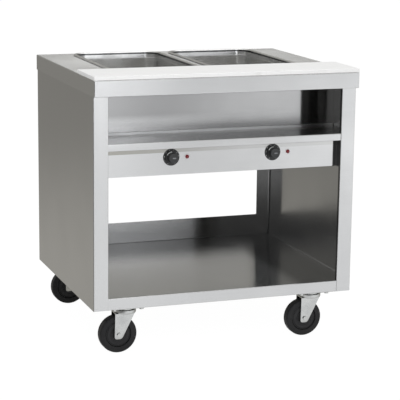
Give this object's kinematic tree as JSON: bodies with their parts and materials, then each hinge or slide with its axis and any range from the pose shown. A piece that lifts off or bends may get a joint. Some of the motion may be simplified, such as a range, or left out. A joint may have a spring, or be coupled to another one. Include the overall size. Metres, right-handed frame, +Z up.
{
  "type": "hot food trolley",
  "caption": "Stainless hot food trolley with wells for lift-out pans, a white cutting board, a plate compartment, heat controls and an open lower shelf on swivel casters.",
  "frame": {"origin": "on the floor under the middle of the top, where the casters stand", "axes": "+Z up, front of the trolley faces -Y, +X to the right seen from the front"},
  "size_m": [0.914, 0.762, 0.9267],
  "materials": {
    "stainless_sheet": "brushed stainless sheet",
    "drawn_stainless": "bright drawn stainless",
    "galvanised_sheet": "galvanised sheet",
    "zinc_plate": "bright zinc plate",
    "bearing_steel": "polished steel balls",
    "heating_tube": "heat-darkened sheath",
    "white_board": "white polyethylene, lightly scuffed",
    "black_knob": "moulded black phenolic",
    "black_dial": "black with pale marks",
    "red_lens": "translucent red",
    "lamp_bezel": "pale moulded bezel",
    "switch_body": "moulded phenolic",
    "terminal_body": "moulded terminal body",
    "wire_sleeve": "glass-braid sleeve",
    "glass_fibre": "glass-fibre blanket",
    "wheel_core": "hard black core",
    "wheel_rubber": "black rubber tread"
  },
  "bodies": {
    "cabinet": {"top_deck": "stainless_sheet", "board_studs": "stainless_sheet", "plate_shelf": "stainless_sheet", "control_panel": "stainless_sheet", "rear_panel": "stainless_sheet", "lower_shelf": "stainless_sheet", "left_side_panel": "stainless_sheet", "left_well_liner": "drawn_stainless", "left_well_jacket": "galvanised_sheet", "left_caster_channel": "galvanised_sheet", "left_well_insulation": "glass_fibre", "left_heating_element": "heating_tube", "left_heat_switch": "switch_body", "left_pilot_lamp": "lamp_bezel", "left_pilot_lens": "red_lens", "right_side_panel": "stainless_sheet", "right_well_liner": "drawn_stainless", "right_well_jacket": "galvanised_sheet", "right_caster_channel": "galvanised_sheet", "right_well_insulation": "glass_fibre", "right_heating_element": "heating_tube", "right_heat_switch": "switch_body", "right_pilot_lamp": "lamp_bezel", "right_pilot_lens": "red_lens", "service_tray": "galvanised_sheet", "dial_plates": "black_dial", "rear_panel_screws": "zinc_plate", "caster_bolts": "zinc_plate", "caster_nuts": "zinc_plate", "caster_balls": "bearing_steel", "terminal_block": "terminal_body", "cord_gland": "black_dial", "wiring_loom": "wire_sleeve", "front_left_caster_plate": "zinc_plate", "front_right_caster_plate": "zinc_plate", "rear_left_caster_plate": "zinc_plate", "rear_right_caster_plate": "zinc_plate"},
    "board": {"cutting_board": "white_board"},
    "left_pan": {"left_food_pan": "drawn_stainless"},
    "left_control": {"left_knob": "black_knob", "left_knob_shaft": "zinc_plate"},
    "right_pan": {"right_food_pan": "drawn_stainless"},
    "right_control": {"right_knob": "black_knob", "right_knob_shaft": "zinc_plate"},
    "front_left_fork": {"front_left_caster_fork": "zinc_plate", "front_left_caster_axle": "zinc_plate"},
    "front_left_wheel": {"front_left_wheel_core": "wheel_core", "front_left_wheel_tyre": "wheel_rubber"},
    "front_right_fork": {"front_right_caster_fork": "zinc_plate", "front_right_caster_axle": "zinc_plate"},
    "front_right_wheel": {"front_right_wheel_core": "wheel_core", "front_right_wheel_tyre": "wheel_rubber"},
    "rear_left_fork": {"rear_left_caster_fork": "zinc_plate", "rear_left_caster_axle": "zinc_plate"},
    "rear_left_wheel": {"rear_left_wheel_core": "wheel_core", "rear_left_wheel_tyre": "wheel_rubber"},
    "rear_right_fork": {"rear_right_caster_fork": "zinc_plate", "rear_right_caster_axle": "zinc_plate"},
    "rear_right_wheel": {"rear_right_wheel_core": "wheel_core", "rear_right_wheel_tyre": "wheel_rubber"}
  },
  "joints": [
    {"name": "board_lift", "type": "slide", "parent": "cabinet", "child": "board", "axis": [0, 0, 1], "range_m": [0, 0.05]},
    {"name": "left_pan_lift", "type": "slide", "parent": "cabinet", "child": "left_pan", "axis": [0, 0, 1], "range_m": [0, 0.13]},
    {"name": "left_knob_turn", "type": "hinge", "parent": "cabinet", "child": "left_control", "pos_m": [-0.1835, -0.329, 0.65], "axis": [0, 1, 0], "range_deg": [0, 300]},
    {"name": "right_pan_lift", "type": "slide", "parent": "cabinet", "child": "right_pan", "axis": [0, 0, 1], "range_m": [0, 0.13]},
    {"name": "right_knob_turn", "type": "hinge", "parent": "cabinet", "child": "right_control", "pos_m": [0.1715, -0.329, 0.65], "axis": [0, 1, 0], "range_deg": [0, 300]},
    {"name": "front_left_swivel", "type": "hinge", "parent": "cabinet", "child": "front_left_fork", "pos_m": [-0.332, -0.301, 0.14], "axis": [0, 0, 1], "continuous": true},
    {"name": "front_left_roll", "type": "hinge", "parent": "front_left_fork", "child": "front_left_wheel", "pos_m": [-0.358, -0.301, 0.0635], "axis": [0, 1, 0], "continuous": true},
    {"name": "front_right_swivel", "type": "hinge", "parent": "cabinet", "child": "front_right_fork", "pos_m": [0.332, -0.301, 0.14], "axis": [0, 0, 1], "continuous": true},
    {"name": "front_right_roll", "type": "hinge", "parent": "front_right_fork", "child": "front_right_wheel", "pos_m": [0.306, -0.301, 0.0635], "axis": [0, 1, 0], "continuous": true},
    {"name": "rear_left_swivel", "type": "hinge", "parent": "cabinet", "child": "rear_left_fork", "pos_m": [-0.332, 0.3302, 0.14], "axis": [0, 0, 1], "continuous": true},
    {"name": "rear_left_roll", "type": "hinge", "parent": "rear_left_fork", "child": "rear_left_wheel", "pos_m": [-0.358, 0.3302, 0.0635], "axis": [0, 1, 0], "continuous": true},
    {"name": "rear_right_swivel", "type": "hinge", "parent": "cabinet", "child": "rear_right_fork", "pos_m": [0.332, 0.3302, 0.14], "axis": [0, 0, 1], "continuous": true},
    {"name": "rear_right_roll", "type": "hinge", "parent": "rear_right_fork", "child": "rear_right_wheel", "pos_m": [0.306, 0.3302, 0.0635], "axis": [0, 1, 0], "continuous": true}
  ]
}
